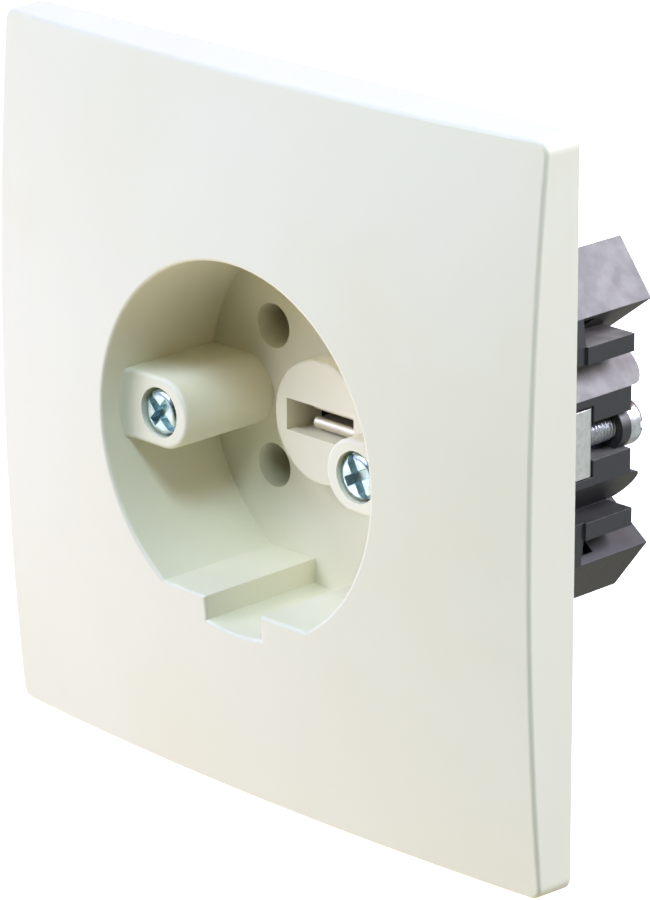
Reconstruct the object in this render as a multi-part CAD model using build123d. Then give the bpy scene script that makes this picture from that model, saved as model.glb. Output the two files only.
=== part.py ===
from build123d import *
import os
from math import atan2, cos, degrees, hypot, radians, sin

# Five-pole three-phase wall socket for a round flush box, in millimetres.
# +X is right, +Y goes back into the wall and +Z is up. The origin lies on the
# socket's axis in the plane of the wall, so depths in front of the wall are negative.

# Cover plate: a square pillow whose front is lower at its edges and lowest at its corners
plate_side = 80.0
plate_corner_radius = 1.6
plate_draft = 2.4
plate_rise_centre = 10.07
plate_rise_edge = 6.28
plate_rise_corner = 4.27
plate_wall = 2.2
plate_edge_round = 0.5
plate_rib_width = 1.2
plate_rib_count = 8

# Plug well
well_diameter = 40.4
well_floor_depth = 6.95
well_wall = 1.9
well_floor_thickness = 2.0
well_rim_round = 0.35
ledge_drop = 17.05
key_groove_width = 8.3

# Plug pins and their holes
pin_span_x = 20.7
pin_span_z = 15.76
pin_hole_diameter = 4.95
pin_collar_wall = 0.85
pin_collar_length = 2.55
collar_gap = 0.7

# Boss with the earth slot
boss_diameter = 13.8
boss_height = 3.2
boss_front_wall = 1.25
boss_edge_round = 0.3
earth_slot_width = 10.1
earth_slot_height = 3.55

# Screw posts on the left and right of the well
post_span = 29.7
post_width = 7.9
post_reach = 4.4
post_rise = 5.7
post_edge_round = 0.5
post_blend = 1.6
post_blend_bite = 0.15
counterbore_depth = 2.1

# Screws: every screw's stem is drawn at the root of its thread
cover_screw_head_diameter = 5.0
cover_screw_head_height = 1.95
cover_screw_stem_diameter = 2.5
cover_screw_length = 19.0
insert_screw_head_diameter = 5.2
insert_screw_head_height = 2.2
insert_screw_stem_diameter = 2.5
insert_screw_length = 10.4
terminal_screw_head_diameter = 4.9
terminal_screw_head_height = 1.9
terminal_screw_stem_diameter = 2.5
terminal_screw_length = 5.8
retainer_screw_head_diameter = 4.2
retainer_screw_stem_diameter = 2.0
retainer_screw_length = 6.5
retainer_screw_top = 12.6
retainer_screw_side = 7.0
retainer_screw_foot = 13.2
left_screw_turn = 138.0
right_screw_turn = 118.0
slot_width = 0.9
slot_depth = 0.75
cross_width = 1.05
cross_depth = 1.2
cross_share = 0.7
head_round = 0.7
stem_point = 0.3

# Support ring of folded sheet
ring_sheet = 1.0
ring_margin = 2.3
ring_corner_radius = 9.0
ring_bend_radius = 0.8
box_screw_edge = 5.5
box_slot_width = 4.2
box_slot_length = 7.0
leg_gap = 1.36
leg_width = 7.5
leg_end_depth = 19.8
leg_relief = 0.9
foot_length = 4.9
insert_screw_inset = 2.56

# Insert: a front flange, a core, four corner terminal chambers, ribbed sides and screw lugs
insert_gap = 0.25
retainer_thickness = 1.5
flange_back_depth = 18.46
flange_set_back = 0.06
flange_half_height = 16.8
core_half_width = 17.0
core_half_height = 14.6
core_floor_thickness = 1.7
chamber_face = 27.34
chamber_width = 7.44
chamber_length = 9.4
chamber_back_depth = 28.9
chamber_outer_wall = 2.34
earth_chamber_face = 20.6
wire_window_depth = 2.8
wire_window_wall = 1.1
side_block_width = 4.9
side_block_back_depth = 25.6
rib_stand = 0.24
rib_high_edge = 10.64
rib_low_edge = 8.68
lug_rib_high_edge = 4.83
lug_rib_low_edge = 2.11
groove_depth = 3.4
groove_front_depth = 13.0
groove_end_radius = 1.9
groove_end_stand = 0.5
lug_radius = 2.6
lug_thickness = 1.4

# Line contacts, their springs and the earth contact
sleeve_bore = 4.9
sleeve_wall = 0.8
sleeve_length = 6.9
sleeve_slit = 0.6
sleeve_slit_length = 5.0
spring_thickness = 0.8
spring_width = 1.6
spring_set_back = 1.0
spring_groove_depth = 0.2
spring_gap = 2.4
strap_width = 5.2
strap_thickness = 1.2
earth_leaf_gap = 1.3
earth_leaf_thickness = 0.8
earth_leaf_width = 6.0
earth_lip_diameter = 1.3
earth_lip_depth = 6.4

# Terminals
saddle_length = 5.2
saddle_thickness = 1.2
saddle_edge = 0.4
wire_gap = 2.1
terminal_window_length = 5.6
strap_seat = 0.6

# Brass bushes that take the cover screws
bush_diameter = 5.0
bush_flange_diameter = 6.6
bush_flange_thickness = 1.4
bush_flange_depth = 17.0

# Clearances
slip_fit = 0.1
thread_fit = 0.05
screw_fit = 0.35
cavity_fit = 0.3
leg_fit = 0.2
ring_fit = 0.6

# Places worked out from the sizes above
well_radius = well_diameter / 2
well_floor_back = well_floor_depth + well_floor_thickness
well_outer_radius = well_radius + well_wall
ring_side = plate_side - 2 * (plate_wall + ring_margin)
box_screw_span = ring_side - 2 * box_screw_edge
leg_face = well_outer_radius + leg_gap + ring_sheet
insert_screw_offset = leg_face - insert_screw_inset
flange_half_width = leg_face - flange_set_back
rib_outer_face = leg_face + rib_stand
side_block_inner = flange_half_width - side_block_width
lug_back_depth = side_block_back_depth
lug_front_depth = lug_back_depth - lug_thickness
groove_inner = flange_half_width - groove_depth
boss_front_depth = well_floor_depth - boss_height
post_offset = post_span / 2
cover_screw_seat = counterbore_depth - post_rise
retainer_front_depth = well_floor_back + insert_gap
base_front_depth = retainer_front_depth + retainer_thickness
pin_collar_diameter = pin_hole_diameter + 2 * pin_collar_wall
pin_collar_back = well_floor_back + pin_collar_length
sleeve_front_depth = pin_collar_back + collar_gap
strap_front_depth = sleeve_front_depth + sleeve_length
strap_back_depth = strap_front_depth + strap_thickness
core_back_depth = strap_back_depth + core_floor_thickness
sleeve_radius = sleeve_bore / 2 + sleeve_wall
saddle_front_depth = strap_back_depth + wire_gap
saddle_back_depth = saddle_front_depth + saddle_thickness
pin_radius = hypot(pin_span_x, pin_span_z) / 2
pin_angle = degrees(atan2(pin_span_z, pin_span_x))
chamber_inner_face = chamber_face - chamber_outer_wall
earth_chamber_inner_face = earth_chamber_face - chamber_outer_wall
spring_bore_radius = sleeve_radius - spring_groove_depth + thread_fit
spring_radius = spring_bore_radius + spring_thickness
spring_front_depth = sleeve_front_depth + spring_set_back
spring_back_depth = spring_front_depth + spring_width
strap_room_half = strap_width / 2 + cavity_fit
fork_half_height = earth_leaf_gap / 2 + earth_leaf_thickness
fork_room_width = earth_leaf_width + 2 * cavity_fit
fork_room_height = earth_leaf_gap + earth_leaf_thickness + earth_lip_diameter + 2 * cavity_fit
terminal_radius = chamber_inner_face - terminal_window_length / 2
earth_terminal_radius = earth_chamber_inner_face - terminal_window_length / 2
retainer_screw_places = [
    (0, retainer_screw_top),
    (retainer_screw_side, -retainer_screw_foot),
    (-retainer_screw_side, -retainer_screw_foot),
]

# The four line contacts by name, each with the direction of its radius
corner_angles = {
    "upper_right": pin_angle,
    "upper_left": 180 - pin_angle,
    "lower_left": 180 + pin_angle,
    "lower_right": -pin_angle,
}
earth_angle = -90.0


def along_depth(sketch, front, back):
    """A sketch drawn in X and Z, carried from one depth to another."""
    return extrude(Plane.XZ.offset(-front) * sketch, amount=back - front, dir=(0, 1, 0))


def disc(diameter, x=0.0, z=0.0):
    """A round outline on the front plane."""
    return Pos(x, z) * Circle(diameter / 2)


def bar(left, right, low, high):
    """A rectangular outline, given by its edges."""
    centre = Pos((left + right) / 2, (low + high) / 2)
    return centre * Rectangle(right - left, high - low)


def turned(angle, sketch):
    """An outline drawn along the X axis, swung round the socket's axis."""
    return Rot(0, 0, angle) * sketch


def both_sides(part):
    """A part together with its mirror image on the left."""
    return part + mirror(part, about=Plane.YZ)


def four_quarters(part):
    """A part of the upper right quarter, repeated in all four."""
    half = both_sides(part)
    return half + mirror(half, about=Plane.XY)


def in_front_of_pillow(set_back):
    """All that lies in front of the pillow face once it is moved back by set_back.

    The rise over the wall is centre - a (x^2 + z^2) + c x^2 z^2, which is one Bezier patch
    of degree two each way; a and c follow from the rises at the edges and the corners.
    """
    half = plate_side / 2
    fall = (plate_rise_centre - plate_rise_edge) / half**2
    twist = (plate_rise_centre + plate_rise_corner - 2 * plate_rise_edge) / half**4
    reach = half + plate_wall
    squares = (reach**2, -(reach**2), reach**2)
    places = (-reach, 0.0, reach)

    def control(i, j):
        rise = plate_rise_centre - fall * (squares[i] + squares[j]) + twist * squares[i] * squares[j]
        return (places[i], set_back - rise, places[j])

    face = Face.make_bezier_surface([[control(i, j) for j in range(3)] for i in range(3)])
    return Solid.extrude(face, Vector(0, -2 * plate_rise_centre, 0))


def plate_block(inset, set_back):
    """The pillow block, drawn in by inset on its sides and by set_back on its front."""
    radius = max(plate_corner_radius - inset, plate_edge_round)
    side = plate_side - 2 * inset
    outline = Plane.XZ * RectangleRounded(side, side, radius)
    block = extrude(outline, amount=plate_rise_centre, taper=plate_draft)
    return block - in_front_of_pillow(set_back)


def pillow_edges(part):
    """The edges of the pillow face."""
    return part.faces().filter_by(GeomType.BEZIER)[0].edges()


def well_outline():
    """The plug well's outline: a circle with a flat ledge at its foot and a key groove in the ledge."""
    circle = Circle(well_radius)
    ledge = bar(-well_radius, well_radius, -well_radius, -ledge_drop)
    groove = bar(-key_groove_width / 2, key_groove_width / 2, -well_radius, 0)
    return circle - (ledge - groove)


def screw_post():
    """The right screw post: a bar with a round end that blends into the well's wall by a hollow curve."""
    wall = well_radius + well_wall / 2
    half = post_width / 2
    end_centre = post_offset - post_reach + half
    outline = disc(post_width, end_centre) + bar(end_centre, wall, -half, half)
    post = along_depth(outline, -post_rise, well_floor_depth)
    blend_start = well_radius + post_blend_bite - post_blend
    blend_front = -post_rise - post_blend
    corner = bar(blend_start, wall, blend_front, -post_rise)
    blend = corner - Pos(blend_start, blend_front) * Circle(post_blend)
    post += extrude(blend, amount=half, both=True)
    hollow = post.faces().filter_by(GeomType.CYLINDER).sort_by(Axis.Y)[0]
    front = post.faces().filter_by(Axis.Y).sort_by(Axis.Y)[1]
    rounded = front.edges().filter_by(Axis.Z, reverse=True) + hollow.edges().filter_by(GeomType.CIRCLE)
    return fillet(rounded, post_edge_round)


def earth_boss():
    """The round boss in the middle of the well's floor."""
    boss = along_depth(disc(boss_diameter), boss_front_depth, well_floor_depth)
    rim = boss.edges().filter_by(GeomType.CIRCLE).sort_by(Axis.Y)[0]
    return fillet(rim, boss_edge_round)


def plate_ribs():
    """Thin radial ribs between the well and the plate's sides, short of the support ring."""
    rib = bar(well_outer_radius - well_wall / 2, plate_side, -plate_rib_width / 2, plate_rib_width / 2)
    fan = Sketch() + [turned(n * 360 / plate_rib_count, rib) for n in range(plate_rib_count)]
    depth = -ring_sheet - ring_fit
    return along_depth(fan, -plate_rise_centre, depth) & plate_block(plate_wall / 2, plate_wall / 2)


def cover():
    """Plate, well, posts and boss, moulded in one."""
    shell = plate_block(0, 0)
    shell = fillet(pillow_edges(shell), plate_edge_round)
    well = along_depth(Circle(well_outer_radius), -plate_rise_centre, well_floor_back)
    hollow = plate_block(plate_wall, plate_wall) - well
    shell = shell - hollow + (well - in_front_of_pillow(plate_wall / 2)) + plate_ribs()
    shell -= along_depth(well_outline(), -2 * plate_rise_centre, well_floor_depth)
    rim = shell.faces().filter_by(GeomType.BEZIER).sort_by(Axis.Y)[0].inner_wires()[0]
    shell = fillet(rim.edges(), well_rim_round)
    shell += both_sides(screw_post()) + earth_boss()
    for x in (-post_offset, post_offset):
        counterbore = disc(cover_screw_head_diameter + 2 * cavity_fit, x)
        shell -= along_depth(counterbore, -post_rise, cover_screw_seat)
        clear = disc(cover_screw_stem_diameter + 2 * screw_fit, x)
        shell -= along_depth(clear, cover_screw_seat, well_floor_back)
    for angle in corner_angles.values():
        collar = turned(angle, disc(pin_collar_diameter, pin_radius))
        shell += along_depth(collar, well_floor_back, pin_collar_back)
        hole = turned(angle, disc(pin_hole_diameter, pin_radius))
        shell -= along_depth(hole, well_floor_depth, pin_collar_back)
    slot = Rectangle(earth_slot_width, earth_slot_height)
    shell -= along_depth(slot, boss_front_depth, well_floor_back)
    fork_room = Rectangle(earth_slot_width, fork_room_height)
    shell -= along_depth(fork_room, boss_front_depth + boss_front_wall, well_floor_back)
    return shell


def drive(head_diameter):
    """A cross recess with a screwdriver slot across the whole head, cut from the top plane down."""
    slot = extrude(Rectangle(2 * head_diameter, slot_width), amount=-slot_depth)
    arm = cross_share * head_diameter
    cross = Rectangle(arm, cross_width) + Rectangle(cross_width, arm)
    return slot + extrude(cross, amount=-cross_depth)


def pan_screw(head_diameter, head_height, stem_diameter, length):
    """A pan-head screw standing on its stem: head up, with the seat of the head at height zero."""
    head = extrude(Circle(head_diameter / 2), amount=head_height)
    head = fillet(head.edges().sort_by(Axis.Z)[-1], head_round)
    stem = extrude(Circle(stem_diameter / 2), amount=-length)
    stem = chamfer(stem.edges().sort_by(Axis.Z)[0], stem_point)
    return head + stem - Pos(0, 0, head_height) * drive(head_diameter)


def countersunk_form(head_diameter, stem_diameter, length):
    """A countersunk head on its stem, with the flat top of the head at height zero."""
    depth = (head_diameter - stem_diameter) / 2
    head = Pos(0, 0, -depth / 2) * Cone(stem_diameter / 2, head_diameter / 2, depth)
    return head + extrude(Circle(stem_diameter / 2), amount=-length)


def facing_front(screw, x, depth, z):
    """A screw whose head looks out of the wall, with its zero height at the given depth."""
    return Plane((x, depth, z), x_dir=(1, 0, 0), z_dir=(0, -1, 0)) * screw


def facing_back(screw, x, depth, z, angle=0.0):
    """A screw whose head looks into the flush box, with its zero height at the given depth."""
    return Plane((x, depth, z), x_dir=(cos(radians(angle)), 0, sin(radians(angle))), z_dir=(0, 1, 0)) * screw


def cover_screws():
    """The two screws in the posts."""
    screw = pan_screw(
        cover_screw_head_diameter, cover_screw_head_height, cover_screw_stem_diameter, cover_screw_length
    )
    turns = {-post_offset: left_screw_turn, post_offset: right_screw_turn}
    return [facing_front(Rot(0, 0, turn) * screw, x, cover_screw_seat, 0) for x, turn in turns.items()]


def cover_screw_bushes():
    """Flanged brass bushes, pushed into the base from behind."""
    bush = along_depth(disc(bush_diameter, post_offset), sleeve_front_depth, bush_flange_depth)
    flange_back = bush_flange_depth + bush_flange_thickness
    bush += along_depth(disc(bush_flange_diameter, post_offset), bush_flange_depth, flange_back)
    bore = disc(cover_screw_stem_diameter + 2 * thread_fit, post_offset)
    bush -= along_depth(bore, sleeve_front_depth, flange_back)
    return [bush, mirror(bush, about=Plane.YZ)]


def support_ring():
    """Sheet ring on the wall with slots for the box screws and two legs folded back to the insert."""
    inner = leg_face - ring_sheet
    half_leg = leg_width / 2
    plate = RectangleRounded(ring_side, ring_side, ring_corner_radius)
    plate -= Circle(well_outer_radius + ring_fit)
    notch = 2 * (leg_face + leg_relief)
    plate -= Rectangle(notch, leg_width + 2 * leg_relief)
    slot = SlotOverall(box_slot_length, box_slot_width)
    for angle in (0, 90, 180, 270):
        plate -= turned(angle, Pos(box_screw_span / 2, 0) * slot)
    ring = along_depth(plate, -ring_sheet, 0)
    tab = along_depth(bar(inner, leg_face + 2 * leg_relief, -half_leg, half_leg), -ring_sheet, 0)
    leg = along_depth(bar(inner, leg_face, -half_leg, half_leg), -ring_sheet, leg_end_depth)
    foot_inner = leg_face - foot_length
    foot_front = leg_end_depth - ring_sheet
    foot = along_depth(bar(foot_inner, leg_face, -half_leg, half_leg), foot_front, leg_end_depth)
    foot -= along_depth(
        disc(insert_screw_stem_diameter + 2 * thread_fit, insert_screw_offset), foot_front, leg_end_depth
    )
    folded = tab + leg + foot
    upright = folded.edges().filter_by(Axis.Z)
    bends = upright.filter_by_position(Axis.X, inner - slip_fit, leg_face + slip_fit)
    outer_bends = bends.sort_by(Axis.Y)[:1] + bends.sort_by(Axis.Y)[-1:]
    folded = fillet(outer_bends, ring_bend_radius)
    return ring + both_sides(folded)


def flange_outline():
    """The insert's front outline: straight sides, four slanted corners and the earth terminal's foot."""
    centre_x = chamber_face * cos(radians(pin_angle))
    centre_z = chamber_face * sin(radians(pin_angle))
    run_x = chamber_width / 2 * sin(radians(pin_angle))
    run_z = chamber_width / 2 * cos(radians(pin_angle))
    upper = (centre_x - run_x, centre_z + run_z)
    lower = (centre_x + run_x, centre_z - run_z)
    ear = (upper[0] - (upper[1] - flange_half_height) / sin(radians(pin_angle)), flange_half_height)
    quarter = [(0, flange_half_height), ear, upper, lower, (flange_half_width, rib_high_edge)]
    left = [(-x, z) for x, z in quarter] + [(-x, -z) for x, z in reversed(quarter)]
    right = [(-x, z) for x, z in reversed(left)]
    outline = Polygon(*left, *right[1:-1], align=None)
    half_foot = chamber_width / 2
    return outline + bar(-half_foot, half_foot, -earth_chamber_face, 0)


def leg_room():
    """The channel that the ring's leg and foot lie in, on the right."""
    half = leg_width / 2 + leg_fit
    inner = leg_face - ring_sheet - leg_fit
    outer = rib_outer_face + slip_fit
    room = along_depth(bar(inner, outer, -half, half), retainer_front_depth, leg_end_depth)
    foot_inner = leg_face - foot_length - leg_fit
    foot_front = leg_end_depth - ring_sheet - slip_fit
    room += along_depth(bar(foot_inner, outer, -half, half), foot_front, leg_end_depth)
    stem = disc(insert_screw_stem_diameter + 2 * screw_fit, insert_screw_offset)
    return room + along_depth(stem, lug_back_depth - insert_screw_length - screw_fit, lug_back_depth)


def terminal_chamber(angle, face):
    """A terminal chamber that is open to the back and to the core."""
    half = chamber_width / 2
    block = bar(face - chamber_length, face, -half, half)
    solid = along_depth(turned(angle, block), base_front_depth, chamber_back_depth)
    room = bar(0, face - chamber_outer_wall, -strap_room_half, strap_room_half)
    return solid - along_depth(turned(angle, room), core_back_depth, chamber_back_depth)


def contact_room(angle, inner, face):
    """The pocket that a contact's strap lies in, open to the front, and the window of its terminal."""
    inside = face - chamber_outer_wall
    strap = bar(inner, inside + strap_seat + cavity_fit, -strap_room_half, strap_room_half)
    room = along_depth(turned(angle, strap), base_front_depth, strap_back_depth)
    window = bar(inside - terminal_window_length, inside, -strap_room_half, strap_room_half)
    return room + along_depth(turned(angle, window), strap_back_depth, core_back_depth)


def wire_window(angle, face, side):
    """The opening through a chamber's side wall where the wire comes in under the saddle."""
    half = chamber_width / 2
    inside = face - chamber_outer_wall
    low, high = sorted((side * strap_room_half, side * (half + slip_fit)))
    opening = bar(inside - terminal_window_length + strap_seat, face - wire_window_wall, low, high)
    return along_depth(turned(angle, opening), flange_back_depth, flange_back_depth + wire_window_depth)


def ribbed_side():
    """The upper right side block: two ribs with a sloped groove between them and a round rear wall."""
    block = along_depth(
        bar(side_block_inner, rib_outer_face, rib_low_edge, rib_high_edge),
        flange_back_depth,
        side_block_back_depth,
    )
    lower = Polygon(
        (side_block_inner, lug_rib_low_edge),
        (flange_half_width, lug_rib_low_edge),
        (flange_half_width, lug_rib_high_edge),
        (groove_inner, rib_low_edge),
        (side_block_inner, rib_low_edge),
        align=None,
    )
    block += along_depth(lower, flange_back_depth, side_block_back_depth)
    middle = (lug_rib_high_edge + rib_low_edge) / 2
    length = flange_half_width - side_block_inner
    centre_depth = side_block_back_depth + groove_end_stand
    zone = bar(side_block_inner, flange_half_width, middle - groove_end_radius, middle + groove_end_radius)
    rounded = Cylinder(groove_end_radius, length, rotation=(0, 90, 0))
    wall = along_depth(zone, flange_back_depth, centre_depth)
    wall += Pos(side_block_inner + length / 2, centre_depth, middle) * rounded
    return block + (wall & along_depth(lower, flange_back_depth, centre_depth + groove_end_radius))


def side_groove():
    """The sloped groove between the ribs where it runs on into the flange, upper right."""
    profile = Polygon(
        (flange_half_width, lug_rib_high_edge),
        (rib_outer_face, lug_rib_high_edge),
        (rib_outer_face, rib_low_edge),
        (groove_inner, rib_low_edge),
        align=None,
    )
    return along_depth(profile, groove_front_depth, flange_back_depth)


def screw_lug():
    """The round lug at the back of the right side, which the insert screw pulls on."""
    lug = disc(2 * lug_radius, insert_screw_offset)
    web = bar(side_block_inner, insert_screw_offset, -lug_radius, lug_radius)
    return along_depth(lug + web, lug_front_depth, lug_back_depth)


def insert_base():
    """The black body that holds the contacts, the terminals and the screws."""
    base = along_depth(flange_outline(), base_front_depth, flange_back_depth)
    core = Rectangle(2 * core_half_width, 2 * core_half_height)
    base += along_depth(core, base_front_depth, core_back_depth)
    base -= four_quarters(side_groove())
    base += four_quarters(ribbed_side())
    base += both_sides(screw_lug())
    for angle in corner_angles.values():
        base += terminal_chamber(angle, chamber_face)
    base += terminal_chamber(earth_angle, earth_chamber_face)
    sides = {"upper_right": -1, "upper_left": 1, "lower_left": -1, "lower_right": 1}
    for name, angle in corner_angles.items():
        base -= contact_room(angle, pin_radius, chamber_face)
        base -= wire_window(angle, chamber_face, sides[name])
        half = spring_radius + cavity_fit
        cell = turned(angle, bar(pin_radius - half, pin_radius + half, -half, half))
        base -= along_depth(cell, base_front_depth, strap_back_depth)
    base -= contact_room(earth_angle, -fork_half_height, earth_chamber_face)
    base -= wire_window(earth_angle, earth_chamber_face, 1)
    fork_room = Rectangle(fork_room_width, fork_room_height)
    base -= along_depth(fork_room, base_front_depth, strap_back_depth)
    base -= both_sides(leg_room())
    for x in (-post_offset, post_offset):
        hole = disc(bush_diameter + 2 * thread_fit, x)
        base -= along_depth(hole, base_front_depth, bush_flange_depth)
        base -= along_depth(disc(bush_flange_diameter + 2 * slip_fit, x), bush_flange_depth, core_back_depth)
    for x, z in retainer_screw_places:
        hole = disc(retainer_screw_stem_diameter + 2 * thread_fit, x, z)
        base -= along_depth(hole, base_front_depth, retainer_front_depth + retainer_screw_length + screw_fit)
    return base


def contact_retainer():
    """The insulating plate over the contacts, with holes for the pins, the fork and the screws."""
    outline = flange_outline()
    for angle in corner_angles.values():
        outline -= turned(angle, disc(pin_collar_diameter + 2 * cavity_fit, pin_radius))
    outline -= Rectangle(fork_room_width, fork_room_height)
    for x in (-post_offset, post_offset):
        outline -= disc(cover_screw_stem_diameter + 2 * screw_fit, x)
    plate = along_depth(outline, retainer_front_depth, base_front_depth)
    for x, z in retainer_screw_places:
        seat = countersunk_form(
            retainer_screw_head_diameter + 2 * slip_fit,
            retainer_screw_stem_diameter + 2 * slip_fit,
            retainer_screw_length,
        )
        plate -= facing_front(seat, x, retainer_front_depth, z)
    return plate - both_sides(leg_room())


def retainer_screws():
    """The countersunk screws of the retainer, flush with its front."""
    screw = countersunk_form(
        retainer_screw_head_diameter, retainer_screw_stem_diameter, retainer_screw_length
    )
    screw -= extrude(Rectangle(2 * retainer_screw_head_diameter, slot_width), amount=-slot_depth)
    return [facing_front(screw, x, retainer_front_depth, z) for x, z in retainer_screw_places]


def insert_screws():
    """The two screws that pull the insert up to the ring's feet from behind."""
    screw = pan_screw(
        insert_screw_head_diameter, insert_screw_head_height, insert_screw_stem_diameter, insert_screw_length
    )
    return [facing_back(screw, x, lug_back_depth, 0) for x in (-insert_screw_offset, insert_screw_offset)]


def strap(inner, radius, inside):
    """A contact's strap along its radius, with the thread of its terminal screw."""
    half = strap_width / 2
    outline = bar(inner, inside + strap_seat, -half, half)
    outline -= disc(terminal_screw_stem_diameter + 2 * thread_fit, radius)
    return outline


def line_contact(angle):
    """A slit sleeve on the end of a strap."""
    outline = strap(pin_radius, terminal_radius, chamber_inner_face) + disc(2 * sleeve_radius, pin_radius)
    contact = along_depth(turned(angle, outline), strap_front_depth, strap_back_depth)
    tube = disc(2 * sleeve_radius, pin_radius) - disc(sleeve_bore, pin_radius)
    contact += along_depth(turned(angle, tube), sleeve_front_depth, strap_front_depth)
    slit = Pos(pin_radius, 0) * Rectangle(3 * sleeve_radius, sleeve_slit)
    slit_back = sleeve_front_depth + sleeve_slit_length
    contact -= along_depth(turned(angle, slit), sleeve_front_depth, slit_back)
    seat = disc(3 * sleeve_radius, pin_radius) - disc(2 * (sleeve_radius - spring_groove_depth), pin_radius)
    seat_front = spring_front_depth - slip_fit
    return contact - along_depth(turned(angle, seat), seat_front, spring_back_depth + slip_fit)


def contact_spring(angle):
    """A clip of flat strip in the sleeve's groove, open towards the socket's axis."""
    clip = disc(2 * spring_radius, pin_radius) - disc(2 * spring_bore_radius, pin_radius)
    clip -= bar(0, pin_radius, -spring_gap / 2, spring_gap / 2)
    return along_depth(turned(angle, clip), spring_front_depth, spring_back_depth)


def earth_contact():
    """A fork of two leaves with rolled lips, on a strap that runs down to the earth terminal."""
    outline = strap(-fork_half_height, earth_terminal_radius, earth_chamber_inner_face)
    contact = along_depth(turned(earth_angle, outline), strap_front_depth, strap_back_depth)
    half = earth_leaf_width / 2
    middle = (earth_leaf_gap + earth_leaf_thickness) / 2
    for side in (-1, 1):
        low = side * middle - earth_leaf_thickness / 2
        leaf = bar(-half, half, low, low + earth_leaf_thickness)
        contact += along_depth(leaf, earth_lip_depth, strap_front_depth)
        lip = Cylinder(earth_lip_diameter / 2, earth_leaf_width, rotation=(0, 90, 0))
        contact += Pos(0, earth_lip_depth, side * middle) * lip
    return contact


def terminal_saddle(angle, radius):
    """A square clamp plate, chamfered where the wire lies, under the head of its screw."""
    half = saddle_length / 2
    outline = bar(radius - half, radius + half, -half, half)
    outline -= disc(terminal_screw_stem_diameter + 2 * screw_fit, radius)
    saddle = along_depth(turned(angle, outline), saddle_front_depth, saddle_back_depth)
    front = saddle.faces().sort_by(Axis.Y)[0]
    return chamfer(front.outer_wire().edges(), saddle_edge)


def terminal_screws():
    """The five terminal screws, their heads to the back."""
    screw = pan_screw(
        terminal_screw_head_diameter,
        terminal_screw_head_height,
        terminal_screw_stem_diameter,
        terminal_screw_length,
    )
    places = [(angle, terminal_radius) for angle in corner_angles.values()]
    places.append((earth_angle, earth_terminal_radius))
    screws = []
    for angle, radius in places:
        x = radius * cos(radians(angle))
        z = radius * sin(radians(angle))
        screws.append(facing_back(screw, x, saddle_back_depth, z, angle))
    return screws


parts = {
    "cover": cover(),
    "cover_screws": Compound(cover_screws()),
    "cover_screw_bushes": Compound(cover_screw_bushes()),
    "support_ring": support_ring(),
    "insert_base": insert_base(),
    "contact_retainer": contact_retainer(),
    "retainer_screws": Compound(retainer_screws()),
    "insert_screws": Compound(insert_screws()),
    "earth_contact": earth_contact(),
    "terminal_saddle_earth": terminal_saddle(earth_angle, earth_terminal_radius),
    "terminal_screws": Compound(terminal_screws()),
}
for corner, corner_angle in corner_angles.items():
    parts[f"line_contact_{corner}"] = line_contact(corner_angle)
    parts[f"contact_spring_{corner}"] = contact_spring(corner_angle)
    parts[f"terminal_saddle_{corner}"] = terminal_saddle(corner_angle, terminal_radius)

os.makedirs("parts", exist_ok=True)
for node, part in parts.items():
    export_step(part, f"parts/{node}.step")
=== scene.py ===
"""The dressed model of a five-pole three-phase wall socket, built round its solids.

Lengths are in metres. +X is right, +Y goes back into the wall and +Z is up.
"""

import math

import bmesh
import bpy
import numpy as np
from bpy.props import FloatProperty, FloatVectorProperty, PointerProperty
from bpy.types import Operator, Panel, PropertyGroup
from mathutils import Matrix, Vector


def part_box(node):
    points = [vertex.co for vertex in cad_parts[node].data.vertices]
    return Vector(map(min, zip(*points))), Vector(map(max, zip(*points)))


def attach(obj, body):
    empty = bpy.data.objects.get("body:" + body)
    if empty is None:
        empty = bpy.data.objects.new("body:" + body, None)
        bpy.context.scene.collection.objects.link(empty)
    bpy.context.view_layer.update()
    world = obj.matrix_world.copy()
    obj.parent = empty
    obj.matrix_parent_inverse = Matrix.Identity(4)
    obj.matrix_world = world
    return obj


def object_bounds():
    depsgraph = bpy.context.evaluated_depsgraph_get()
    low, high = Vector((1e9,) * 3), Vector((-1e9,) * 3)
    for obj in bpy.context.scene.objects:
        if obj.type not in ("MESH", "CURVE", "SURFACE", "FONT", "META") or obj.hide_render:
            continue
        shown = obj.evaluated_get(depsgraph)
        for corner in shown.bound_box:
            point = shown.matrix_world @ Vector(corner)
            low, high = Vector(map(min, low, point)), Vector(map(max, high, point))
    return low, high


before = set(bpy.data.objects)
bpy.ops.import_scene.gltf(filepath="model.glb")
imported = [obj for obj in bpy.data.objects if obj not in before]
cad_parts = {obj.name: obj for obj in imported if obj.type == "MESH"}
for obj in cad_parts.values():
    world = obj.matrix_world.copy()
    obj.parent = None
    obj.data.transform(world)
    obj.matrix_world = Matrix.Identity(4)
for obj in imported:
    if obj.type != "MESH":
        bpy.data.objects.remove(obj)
solid_box = [list(corner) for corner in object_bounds()]

bl_info = {
    "name": "Three-phase wall socket",
    "version": (1, 0, 0),
    "blender": (4, 5, 0),
    "location": "3D View > Sidebar > Socket",
    "description": "Finishes, threads and stage of a flush three-phase wall socket",
    "category": "Object",
}

BODY = "root"
MILLIMETRE = 0.001
ACROSS = 0
UPRIGHT = 2

# Pieces by finish
INSERT_NODES = ("insert_base", "contact_retainer")
SCREW_NODES = ("insert_screws", "terminal_screws", "retainer_screws")
CORNERS = ("upper_right", "upper_left", "lower_left", "lower_right")
SADDLE_NODES = tuple(f"terminal_saddle_{place}" for place in CORNERS + ("earth",))
SHEET_NODES = ("support_ring",) + SADDLE_NODES
BRASS_NODES = ("cover_screw_bushes",) + tuple(f"line_contact_{place}" for place in CORNERS)
SPRING_NODES = tuple(f"contact_spring_{place}" for place in CORNERS)

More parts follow.
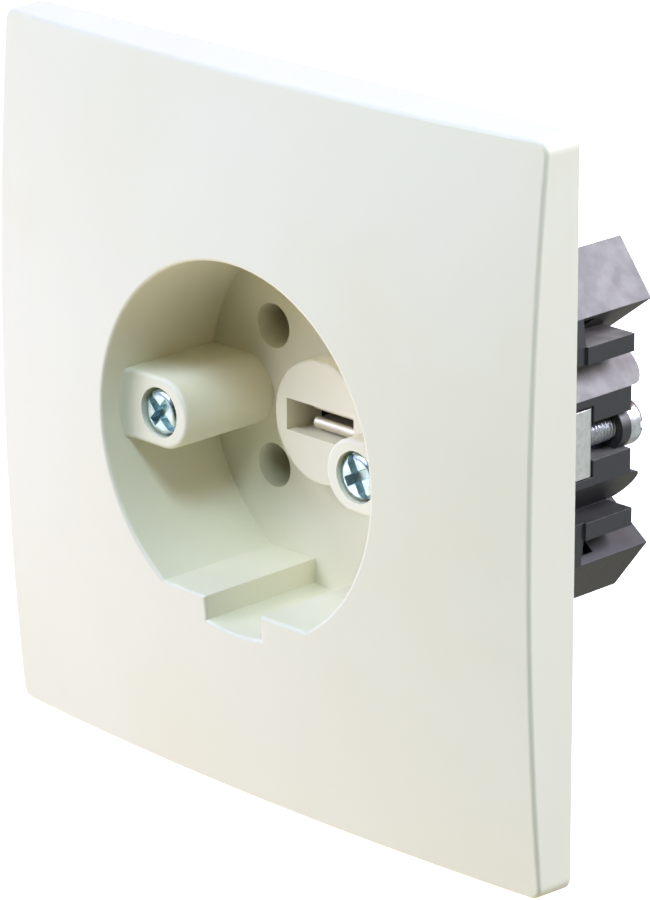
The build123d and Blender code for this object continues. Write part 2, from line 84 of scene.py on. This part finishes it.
# Sizes of the patterns in the finishes
COVER_FLOW = 22.0 * MILLIMETRE
COVER_GRAIN = 0.45 * MILLIMETRE
INSERT_MOTTLE = 2.2 * MILLIMETRE
INSERT_GRAIN = 0.6 * MILLIMETRE
ZINC_CRYSTAL = 0.5 * MILLIMETRE
ZINC_SPECKLE = 0.25 * MILLIMETRE
SCREW_CLOUD = 0.9 * MILLIMETRE
SCREW_MARKS = 0.18 * MILLIMETRE
METAL_LINES = 0.4 * MILLIMETRE
METAL_CLOUD = 4.0 * MILLIMETRE
EDGE_SAMPLES = 6

# Places of the Mix node's sockets when it blends colours
MIX_SHARE = 0
MIX_FIRST = 6
MIX_SECOND = 7
MIX_RESULT = 2

# Threads: widths and free ends are in pitches
THREAD_STEPS_PER_TURN = 28
THREAD_SINK = 0.04 * MILLIMETRE
THREAD_HALF_FOOT = 0.44
THREAD_HALF_CREST = 0.09
THREAD_LEAST_FADE = 0.02
THREAD_FREE_END = 0.6
INSERT_SCREW_HEAD = 2.2 * MILLIMETRE

# Camera, floor and light
IMAGE_HEIGHT = 900
SENSOR_HEIGHT = 36.0
CLIP_START = 0.01
FLOOR_REACH = 3.0
PATCH_RIM = 0.3
PATCH_CORE = 0.95
SKY_PATCHES = (
    ("sky_left", (-1.0, 0.0, 0.0)),
    ("sky_below", (-0.5, -0.3, -0.81)),
    ("sky_back", (0.68, 0.66, -0.32)),
)
# Each light: name, place, side, power in watts and tint
LIGHTS = (
    ("key_front", (-0.55, -1.10, 0.92), 0.9, 19.1, (0.735, 0.771, 1.0)),
    ("key_top", (0.62, -0.64, 1.27), 0.4, 11.6, (0.60, 0.816, 1.0)),
    ("rim_right", (1.0, 0.92, 1.0), 0.9, 35.2, (0.802, 0.793, 1.0)),
    ("top_back", (0.0, 0.80, 1.40), 0.9, 1.9, (1.0, 0.40, 0.0)),
)


def colour_property(name, description, default):
    """A colour that a user would change."""
    return FloatVectorProperty(
        name=name, description=description, default=default, subtype="COLOR", size=3, min=0.0, max=1.0
    )


def length_property(name, description, default):
    """A length that a user would change, in metres."""
    return FloatProperty(
        name=name, description=description, default=default, min=0.0, unit="LENGTH", precision=5
    )


def angle_property(name, description, degrees):
    """An angle that a user would change."""
    return FloatProperty(name=name, description=description, default=math.radians(degrees), subtype="ANGLE")


class SocketFinishes(PropertyGroup):
    """Colours of the socket's materials."""

    cover: colour_property("Cover", "Warm white moulding", (0.87, 0.845, 0.67))
    cover_warm: colour_property("Cover tint", "The moulding where it is yellower", (0.86, 0.825, 0.63))
    insert: colour_property("Insert", "Black moulding", (0.022, 0.0225, 0.0225))
    # A pale colour painted on the insert's faces that look up, as light falling from above, not a film on
    # the moulding.
    insert_painted_sheen: colour_property("Insert painted sheen", "Painted light on the upper faces of the black moulding", (0.385, 0.35, 0.305))
    zinc: colour_property("Sheet", "Zinc plated sheet", (0.785, 0.79, 0.745))
    cover_screw: colour_property("Cover screws", "Bluish zinc", (0.60, 0.77, 0.79))
    screw: colour_property("Other screws", "Clear zinc", (0.76, 0.78, 0.79))
    brass: colour_property("Brass", "Bare brass", (0.72, 0.52, 0.24))
    brass_tarnish: colour_property("Brass tarnish", "Dark clouds on the brass", (0.42, 0.27, 0.12))
    nickel: colour_property("Nickel", "Nickel plated contact", (0.95, 0.90, 0.78))
    nickel_tarnish: colour_property("Nickel tarnish", "Warm clouds on the nickel", (0.82, 0.72, 0.57))
    spring: colour_property("Springs", "Spring steel", (0.42, 0.42, 0.44))
    spring_tarnish: colour_property("Spring tarnish", "Dark clouds on the steel", (0.22, 0.22, 0.24))


class SocketThreads(PropertyGroup):
    """Sizes of the machine screws' threads."""

    root: length_property("Root", "Radius at the foot of the thread", 1.25 * MILLIMETRE)
    crest: length_property("Crest", "Radius at the top of the thread", 1.5 * MILLIMETRE)
    pitch: length_property("Pitch", "Advance in one turn", 0.5 * MILLIMETRE)


class SocketStage(PropertyGroup):
    """Camera, floor and light."""

    azimuth: angle_property("Azimuth", "Camera's turn to the right", 45.592)
    elevation: angle_property("Elevation", "Camera's height", 18.826)
    roll: angle_property("Roll", "Camera's tilt about its view", -0.285)
    distance: length_property("Distance", "From the camera to its target", 0.483877)
    target: FloatVectorProperty(
        name="Target",
        description="Point that the camera looks at",
        default=(0.005756, 0.0, 0.000384),
        subtype="XYZ",
    )
    focal: FloatProperty(name="Focal length", description="In image pixels", default=4646.26)
    centre: FloatVectorProperty(
        name="Centre",
        description="Where the view axis meets the image, in pixels from its middle",
        default=(7.84, 8.95),
        size=2,
    )
    sky: FloatProperty(name="Sky", description="Strength of all patches of sky", default=2.0, min=0.0)
    sky_left: colour_property("Left", "Dim, cool light from the left", (0.196, 0.222, 0.549))
    sky_below: colour_property("Below", "Warm light from the left and below", (0.977, 0.892, 0.71))
    sky_back: colour_property("Back", "Dim light from the right and behind", (0.285, 0.303, 0.298))
    floor: FloatProperty(name="Floor glow", description="White of the floor", default=1.0, min=0.0)


class SocketSettings(PropertyGroup):
    """All that can be set on the socket."""

    finishes: PointerProperty(type=SocketFinishes)
    threads: PointerProperty(type=SocketThreads)
    stage: PointerProperty(type=SocketStage)


class Value:
    """A socket of a node tree. Arithmetic on it adds Math nodes."""

    def __init__(self, shading, socket):
        self.shading = shading
        self.socket = socket

    def math(self, operation, first, second):
        """One step of arithmetic on numbers."""
        return self.shading.node("ShaderNodeMath", {"operation": operation}, {0: first, 1: second})

    def __add__(self, other):
        return self.math("ADD", self, other)

    __radd__ = __add__

    def __sub__(self, other):
        return self.math("SUBTRACT", self, other)

    def __rsub__(self, other):
        return self.math("SUBTRACT", other, self)

    def __mul__(self, other):
        return self.math("MULTIPLY", self, other)

    __rmul__ = __mul__


class Shading:
    """A node tree under construction."""

    def __init__(self, tree):
        self.tree = tree

    def connect(self, socket, value):
        """Links a value to a socket, or sets the socket to a constant."""
        if isinstance(value, Value):
            self.tree.links.new(value.socket, socket)
        else:
            socket.default_value = value

    def node(self, kind, settings, inputs, output=0):
        """One output of a new node, whose settings are made before its sockets are fed."""
        made = self.tree.nodes.new(kind)
        for key, setting in settings.items():
            setattr(made, key, setting)
        for key, value in inputs.items():
            self.connect(made.inputs[key], value)
        return Value(self, made.outputs[output])

    def place(self, stretch=(1.0, 1.0, 1.0)):
        """The point on the piece, stretched along the axes."""
        point = self.node("ShaderNodeTexCoord", {}, {}, "Object")
        return self.node("ShaderNodeMapping", {}, {"Vector": point, "Scale": stretch})

    def noise(self, size, detail, stretch=(1.0, 1.0, 1.0)):
        """Soft random clouds of a given size."""
        inputs = {"Vector": self.place(stretch), "Scale": 1.0 / size, "Detail": detail}
        return self.node("ShaderNodeTexNoise", {}, inputs)

    def cells(self, size):
        """Cells of a given size, each with a shade of its own."""
        inputs = {"Vector": self.place(), "Scale": 1.0 / size}
        picked = self.node("ShaderNodeTexVoronoi", {}, inputs, "Color")
        return self.node("ShaderNodeSeparateColor", {}, {"Color": picked}, "Red")

    def span(self, value, low, high):
        """A smooth step from 0 at the low value to 1 at the high one."""
        inputs = {"Value": value, "From Min": low, "From Max": high}
        return self.node("ShaderNodeMapRange", {"interpolation_type": "SMOOTHSTEP"}, inputs)

    def blend(self, share, first, second):
        """The first colour where the share is 0, the second where it is 1."""
        inputs = {MIX_SHARE: share, MIX_FIRST: colour(first), MIX_SECOND: colour(second)}
        return self.node("ShaderNodeMix", {"data_type": "RGBA"}, inputs, MIX_RESULT)

    def vector(self, operation, inputs, output=0):
        """One step of arithmetic on vectors."""
        return self.node("ShaderNodeVectorMath", {"operation": operation}, inputs, output)

    def facing(self, axis):
        """How far the surface looks along an axis."""
        normal = self.node("ShaderNodeTexCoord", {}, {}, "Normal")
        return self.node("ShaderNodeSeparateXYZ", {}, {"Vector": normal}, axis)

    def along(self, axis):
        """The point's place along an axis."""
        return self.node("ShaderNodeSeparateXYZ", {}, {"Vector": self.place()}, axis)

    def soft_edges(self, radius):
        """The surface's direction with its sharp edges rounded."""
        return self.node("ShaderNodeBevel", {"samples": EDGE_SAMPLES}, {"Radius": radius})

    def relief(self, height, depth, strength, edge=0.0):
        """A bump on the plain surface, or on one whose edges are rounded by a radius."""
        inputs = {"Height": height, "Distance": depth, "Strength": strength}
        if edge > 0.0:
            inputs["Normal"] = self.soft_edges(edge)
        return self.node("ShaderNodeBump", {}, inputs)


def colour(value):
    """A colour with its alpha, or a linked value as it is."""
    return value if isinstance(value, Value) else (*value, 1.0)


def scaled(tint, share):
    """A colour made darker or lighter, up to full white."""
    return tuple(min(share * part, 1.0) for part in tint)


def new_finish(name):
    """A material with an empty Principled shader, and the shading that feeds it."""
    material = bpy.data.materials.new(name)
    material.use_nodes = True
    shading = Shading(material.node_tree)
    return material, shading, material.node_tree.nodes["Principled BSDF"]


def set_shader(shading, shader, sockets):
    """Sets the shader's sockets from values or links."""
    for key, value in sockets.items():
        shading.connect(shader.inputs[key], value)


def cover_finish(settings):
    """Warm white satin moulding: slow changes of tint, and the fine texture of the mould."""
    satin = 0.34
    satin_change = 0.12
    material, shading, shader = new_finish("cover_plastic")
    flow = shading.span(shading.noise(COVER_FLOW, detail=3.0), low=0.35, high=0.7)
    grain = shading.noise(COVER_GRAIN, detail=3.0)
    set_shader(shading, shader, {
        "Base Color": shading.blend(flow, settings.cover, settings.cover_warm),
        "Roughness": satin + satin_change * grain,
        "Normal": shading.relief(grain, depth=0.02 * MILLIMETRE, strength=0.10),
        "Subsurface Weight": 0.06,
        "Subsurface Radius": (1.0, 0.85, 0.6),
        "Subsurface Scale": 1.2 * MILLIMETRE,
        "IOR": 1.5,
    })
    return material


def insert_finish(settings):
    """Black moulding compound with soft edges: a painted sheen of light from above on the faces that look
    up, mottled at random and fading to painted shade on the lower parts, plus a little random dust.
    """
    sheen_least = 0.5
    sheen_mottle = 0.35
    painted_shade_below = 0.88
    dust = 0.05
    matte = 0.40
    matte_change = 0.18
    material, shading, shader = new_finish("insert_plastic")
    mottle = shading.span(shading.noise(INSERT_MOTTLE, detail=7.0), low=0.34, high=0.72)
    fine = shading.noise(INSERT_GRAIN, detail=4.0)
    # Painted light: faces that look up take the pale colour, as if lit from above; the mottle varies it at
    # random.
    upward = shading.span(shading.facing("Z"), low=0.05, high=0.75)
    # Painted shade: the painted light fades towards the bottom of the insert, where the parts above cast
    # shade.
    upper = shading.span(shading.along("Z"), low=-8.0 * MILLIMETRE, high=6.0 * MILLIMETRE)
    by_height = 1.0 - painted_shade_below * (1.0 - upper)
    # The painted light, plus a little random dust everywhere.
    painted_light_and_dust = upward * by_height * (sheen_least + sheen_mottle * mottle) + dust * fine
    set_shader(shading, shader, {
        "Base Color": shading.blend(painted_light_and_dust, settings.insert, settings.insert_painted_sheen),
        "Roughness": matte + matte_change * fine,
        "Normal": shading.relief(fine, depth=0.03 * MILLIMETRE, strength=0.18, edge=0.14 * MILLIMETRE),
        "IOR": 1.55,
    })
    return material


def sheet_finish(settings):
    """Zinc plated sheet: small crystals and fine speckle."""
    dark = 0.78
    light = 1.12
    crystal_share = 0.35
    speckle_share = 0.65
    satin = 0.36
    satin_change = 0.16
    material, shading, shader = new_finish("sheet_zinc")
    speckle = shading.noise(ZINC_SPECKLE, detail=2.0)
    shade = crystal_share * shading.cells(ZINC_CRYSTAL) + speckle_share * speckle
    set_shader(shading, shader, {
        "Base Color": shading.blend(shade, scaled(settings.zinc, dark), scaled(settings.zinc, light)),
        "Metallic": 1.0,
        "Roughness": satin + satin_change * speckle,
        "Normal": shading.relief(speckle, depth=0.02 * MILLIMETRE, strength=0.15, edge=0.12 * MILLIMETRE),
    })
    return material


def screw_finish(name, zinc):
    """Bright zinc on cold formed steel, a little uneven in shine."""
    dark = 0.72
    shine = 0.20
    shine_change = 0.2
    material, shading, shader = new_finish(name)
    cloud = shading.span(shading.noise(SCREW_CLOUD, detail=4.0), low=0.3, high=0.7)
    marks = shading.noise(SCREW_MARKS, detail=3.0)
    set_shader(shading, shader, {
        "Base Color": shading.blend(cloud, scaled(zinc, dark), zinc),
        "Metallic": 1.0,
        "Roughness": shine + shine_change * marks,
        "Normal": shading.relief(marks, depth=0.03 * MILLIMETRE, strength=0.25, edge=0.1 * MILLIMETRE),
    })
    return material


def metal_finish(name, base, tarnish, stretch, shine):
    """A drawn or stamped metal: lines along its working direction and a cloudy tarnish."""
    tarnish_share = 0.5
    shine_change = 0.15
    material, shading, shader = new_finish(name)
    lines = shading.noise(METAL_LINES, detail=3.0, stretch=stretch)
    cloud = shading.span(shading.noise(METAL_CLOUD, detail=4.0), low=0.35, high=0.75)
    set_shader(shading, shader, {
        "Base Color": shading.blend(tarnish_share * cloud, base, tarnish),
        "Metallic": 1.0,
        "Roughness": shine + shine_change * lines,
        "Normal": shading.relief(lines, depth=0.02 * MILLIMETRE, strength=0.2, edge=0.1 * MILLIMETRE),
    })
    return material


def give_finish(material, nodes):
    """Puts one finish on CAD pieces."""
    for node in nodes:
        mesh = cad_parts[node].data
        mesh.materials.clear()
        mesh.materials.append(material)


def joined_tubes(name, runs):
    """One closed mesh from several runs of closed sections.

    Each run is an array of sections by corners by coordinates. Quads join corner to corner of
    neighbouring sections, and the first and last section of each run are caps.
    """
    points = []
    faces = []
    offset = 0
    for sections in runs:
        count, corners = sections.shape[:2]
        index = offset + np.arange(count * corners).reshape(count, corners)
        turned = np.roll(index, -1, axis=1)
        quads = np.stack([index[:-1], turned[:-1], turned[1:], index[1:]], axis=-1).reshape(-1, 4)
        faces += quads.tolist() + [index[0].tolist(), index[-1].tolist()]
        points.append(sections.reshape(-1, 3))
        offset += count * corners
    mesh = bpy.data.meshes.new(name)
    mesh.from_pydata(np.concatenate(points).tolist(), [], faces)
    shape = bmesh.new()
    shape.from_mesh(mesh)
    bmesh.ops.recalc_face_normals(shape, faces=shape.faces)
    shape.to_mesh(mesh)
    shape.free()
    piece = bpy.data.objects.new(name, mesh)
    bpy.context.scene.collection.objects.link(piece)
    return piece


def thread_sections(sizes, x, z, front, back):
    """A thread's ridge round an axis along Y.

    The section is a trapezoid with a wide foot just inside the root and a narrow crest. It turns once
    round the axis for each pitch that it advances, and its height fades out over the first and last
    half turn.
    """
    turns = (back - front) / sizes.pitch
    along = np.linspace(0.0, 1.0, int(turns * THREAD_STEPS_PER_TURN))
    angle = 2.0 * math.pi * turns * along
    fade = np.clip(2.0 * turns * np.minimum(along, 1.0 - along), THREAD_LEAST_FADE, 1.0)[:, None]
    height = np.array([0.0, 1.0, 1.0, 0.0])
    across = sizes.pitch * np.array(
        [-THREAD_HALF_FOOT, -THREAD_HALF_CREST, THREAD_HALF_CREST, THREAD_HALF_FOOT]
    )
    foot = sizes.root - THREAD_SINK
    radius = foot + (sizes.crest - foot) * height * fade
    depth = front + (back - front) * along[:, None] + across * fade
    return np.stack(
        [x + radius * np.cos(angle)[:, None], depth, z + radius * np.sin(angle)[:, None]], axis=-1
    )


def middle(node, axis):
    """The middle of a CAD piece along one axis."""
    low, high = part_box(node)
    return (low[axis] + high[axis]) / 2.0


def paired_axes(low, high):
    """The axes of two like screws at the left and right, whose heads reach to these corners."""
    offset = high.x - (high.z - low.z) / 2.0
    return [(-offset, 0.0), (offset, 0.0)]


def finish_piece(piece, material):
    """Gives a new piece its finish and hangs it on the socket's body."""
    piece.data.materials.append(material)
    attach(piece, BODY)


def settings_of(context):
    """The socket's settings in the scene."""
    return context.scene.wall_socket


class SOCKET_OT_finish_cover(Operator):
    """Gives the plate, well, posts and boss their warm white moulding"""

    bl_idname = "wall_socket.finish_cover"
    bl_label = "Finish the cover"

    def execute(self, context):
        give_finish(cover_finish(settings_of(context).finishes), ("cover",))
        return {"FINISHED"}


class SOCKET_OT_finish_insert(Operator):
    """Gives the base and the retainer their black moulding"""

    bl_idname = "wall_socket.finish_insert"
    bl_label = "Finish the insert"

    def execute(self, context):
        give_finish(insert_finish(settings_of(context).finishes), INSERT_NODES)
        return {"FINISHED"}


class SOCKET_OT_finish_sheet(Operator):
    """Gives the support ring and the terminal saddles their zinc"""

    bl_idname = "wall_socket.finish_sheet"
    bl_label = "Finish the sheet pieces"

    def execute(self, context):
        give_finish(sheet_finish(settings_of(context).finishes), SHEET_NODES)
        return {"FINISHED"}


class SOCKET_OT_finish_screws(Operator):
    """Gives the screws their bright zinc and cuts the threads of the machine screws"""

    bl_idname = "wall_socket.finish_screws"
    bl_label = "Finish the screws"

    def execute(self, context):
        settings = settings_of(context)
        clear = screw_finish("screw_zinc", settings.finishes.screw)
        bluish = screw_finish("screw_zinc_blue", settings.finishes.cover_screw)
        give_finish(clear, SCREW_NODES)
        give_finish(bluish, ("cover_screws",))
        sizes = settings.threads
        for name, axes, front, back in self.thread_places(sizes):
            runs = [thread_sections(sizes, x, z, front, back) for x, z in axes]
            finish_piece(joined_tubes(name, runs), clear)
        return {"FINISHED"}

    def thread_places(self, sizes):
        """Each group of threads: its name, the axes in X and Z, and the depths between which it runs."""
        end = THREAD_FREE_END * sizes.pitch
        insert_low, insert_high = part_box("insert_screws")
        lug_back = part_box("insert_base")[1].y
        cover_low, cover_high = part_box("cover_screws")
        return (
            (
                "insert_screw_threads",
                paired_axes(insert_low, insert_high),
                insert_low.y + end,
                min(insert_high.y - INSERT_SCREW_HEAD - end, lug_back),
            ),
            (
                "cover_screw_threads",
                paired_axes(cover_low, cover_high),
                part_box("cover")[1].y,
                cover_high.y - end,
            ),
            (
                "terminal_screw_threads",
                [(middle(node, ACROSS), middle(node, UPRIGHT)) for node in SADDLE_NODES],
                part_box("terminal_screws")[0].y + end,
                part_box("terminal_saddle_earth")[1].y - end,
            ),
        )


class SOCKET_OT_finish_contacts(Operator):
    """Gives the contacts, their springs and the bushes their metals"""

    bl_idname = "wall_socket.finish_contacts"
    bl_label = "Finish the contacts"

    def execute(self, context):
        colours = settings_of(context).finishes
        along_depth = (1.0, 0.08, 1.0)
        round_clip = (0.2, 1.0, 0.2)
        brass = metal_finish("contact_brass", colours.brass, colours.brass_tarnish, along_depth, shine=0.26)
        nickel = metal_finish(
            "contact_nickel", colours.nickel, colours.nickel_tarnish, along_depth, shine=0.40
        )
        steel = metal_finish("spring_steel", colours.spring, colours.spring_tarnish, round_clip, shine=0.28)
        give_finish(brass, BRASS_NODES)
        give_finish(nickel, ("earth_contact",))
        give_finish(steel, SPRING_NODES)
        return {"FINISHED"}


class SOCKET_OT_set_stage(Operator):
    """Sets up the floor, the light and the camera"""

    bl_idname = "wall_socket.set_stage"
    bl_label = "Set the stage"

    def execute(self, context):
        stage = settings_of(context).stage
        context.scene.view_settings.view_transform = "Standard"
        self.make_sky(context.scene, stage)
        self.make_floor(stage)
        for name, place, side, power, tint in LIGHTS:
            self.make_light(name, place, side, power, tint)
        self.make_camera(context.scene, stage)
        return {"FINISHED"}

    def make_sky(self, scene, stage):
        """A dark room with soft patches of light round some directions, behind a white backdrop.

        The backdrop is seen and casts no light.
        """
        world = bpy.data.worlds.new("room")
        world.use_nodes = True
        shading = Shading(world.node_tree)
        direction = shading.node("ShaderNodeTexCoord", {}, {}, "Generated")
        light = (0.0, 0.0, 0.0)
        for patch, axis in SKY_PATCHES:
            facing = shading.vector("DOT_PRODUCT", {0: direction, 1: axis}, "Value")
            share = shading.span(facing, PATCH_RIM, PATCH_CORE)
            part = shading.vector("SCALE", {0: tuple(getattr(stage, patch)), "Scale": share})
            light = shading.vector("ADD", {0: light, 1: part})
        seen = shading.node("ShaderNodeLightPath", {}, {}, "Is Camera Ray")
        backdrop = (stage.floor / stage.sky,) * 3
        background = world.node_tree.nodes["Background"]
        shading.connect(background.inputs["Color"], shading.blend(seen, light, backdrop))
        shading.connect(background.inputs["Strength"], stage.sky)
        scene.world = world

    def make_floor(self, stage):
        """A pale floor at the plate's lower edge that casts no light on the socket."""
        level = solid_box[0][UPRIGHT]
        corners = [
            (-FLOOR_REACH, -FLOOR_REACH, level),
            (FLOOR_REACH, -FLOOR_REACH, level),
            (FLOOR_REACH, FLOOR_REACH, level),
            (-FLOOR_REACH, FLOOR_REACH, level),
        ]
        mesh = bpy.data.meshes.new("floor")
        mesh.from_pydata(corners, [], [[0, 1, 2, 3]])
        floor = bpy.data.objects.new("floor", mesh)
        bpy.context.scene.collection.objects.link(floor)
        material, shading, shader = new_finish("floor_white")
        set_shader(shading, shader, {
            "Base Color": (0.8, 0.8, 0.8, 1.0),
            "Roughness": 0.9,
            "Emission Color": (1.0, 1.0, 1.0, 1.0),
            "Emission Strength": stage.floor,
        })
        mesh.materials.append(material)
        floor.visible_diffuse = False
        floor.visible_glossy = False

    def make_light(self, name, place, side, power, tint):
        """A soft square light that looks at the socket."""
        lamp = bpy.data.lights.new(name, "AREA")
        lamp.size = side
        lamp.energy = power
        lamp.color = tint
        light = bpy.data.objects.new(name, lamp)
        bpy.context.scene.collection.objects.link(light)
        light.location = place
        light.rotation_euler = (-Vector(place)).to_track_quat("-Z", "Y").to_euler()

    def make_camera(self, scene, stage):
        """A camera on a sphere round its target, rolled a little, with the image's own centre."""
        turn = stage.azimuth
        rise = stage.elevation
        back = Vector((math.sin(turn) * math.cos(rise), -math.cos(turn) * math.cos(rise), math.sin(rise)))
        right = Vector((math.cos(turn), math.sin(turn), 0.0))
        up = back.cross(right)
        rolled_right = right * math.cos(stage.roll) + up * math.sin(stage.roll)
        rolled_up = up * math.cos(stage.roll) - right * math.sin(stage.roll)
        lens = bpy.data.cameras.new("camera")
        lens.sensor_fit = "VERTICAL"
        lens.sensor_height = SENSOR_HEIGHT
        lens.lens = stage.focal / IMAGE_HEIGHT * SENSOR_HEIGHT
        lens.shift_x = -stage.centre[0] / IMAGE_HEIGHT
        lens.shift_y = -stage.centre[1] / IMAGE_HEIGHT
        lens.clip_start = CLIP_START
        camera = bpy.data.objects.new("camera", lens)
        scene.collection.objects.link(camera)
        place = Matrix((rolled_right, rolled_up, back)).transposed().to_4x4()
        place.translation = Vector(stage.target) + back * stage.distance
        camera.matrix_world = place
        scene.camera = camera


class SOCKET_PT_sidebar(Panel):
    """The socket's settings and steps"""

    bl_label = "Wall socket"
    bl_idname = "SOCKET_PT_sidebar"
    bl_space_type = "VIEW_3D"
    bl_region_type = "UI"
    bl_category = "Socket"

    def draw(self, context):
        settings = settings_of(context)
        for group in (settings.finishes, settings.threads, settings.stage):
            box = self.layout.box()
            for key in group.bl_rna.properties.keys():
                if key not in ("rna_type", "name"):
                    box.prop(group, key)
        for step in STEPS:
            self.layout.operator(step.bl_idname)


STEPS = (
    SOCKET_OT_finish_cover,
    SOCKET_OT_finish_insert,
    SOCKET_OT_finish_sheet,
    SOCKET_OT_finish_screws,
    SOCKET_OT_finish_contacts,
    SOCKET_OT_set_stage,
)
CLASSES = (SocketFinishes, SocketThreads, SocketStage, SocketSettings) + STEPS + (SOCKET_PT_sidebar,)


def register():
    for each in CLASSES:
        bpy.utils.register_class(each)
    bpy.types.Scene.wall_socket = PointerProperty(type=SocketSettings)


def unregister():
    del bpy.types.Scene.wall_socket
    for each in reversed(CLASSES):
        bpy.utils.unregister_class(each)


def main():
    """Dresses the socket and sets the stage."""
    register()
    bpy.ops.wall_socket.finish_cover()
    bpy.ops.wall_socket.finish_insert()
    bpy.ops.wall_socket.finish_sheet()
    bpy.ops.wall_socket.finish_screws()
    bpy.ops.wall_socket.finish_contacts()
    bpy.ops.wall_socket.set_stage()


if __name__ == "__main__":
    main()
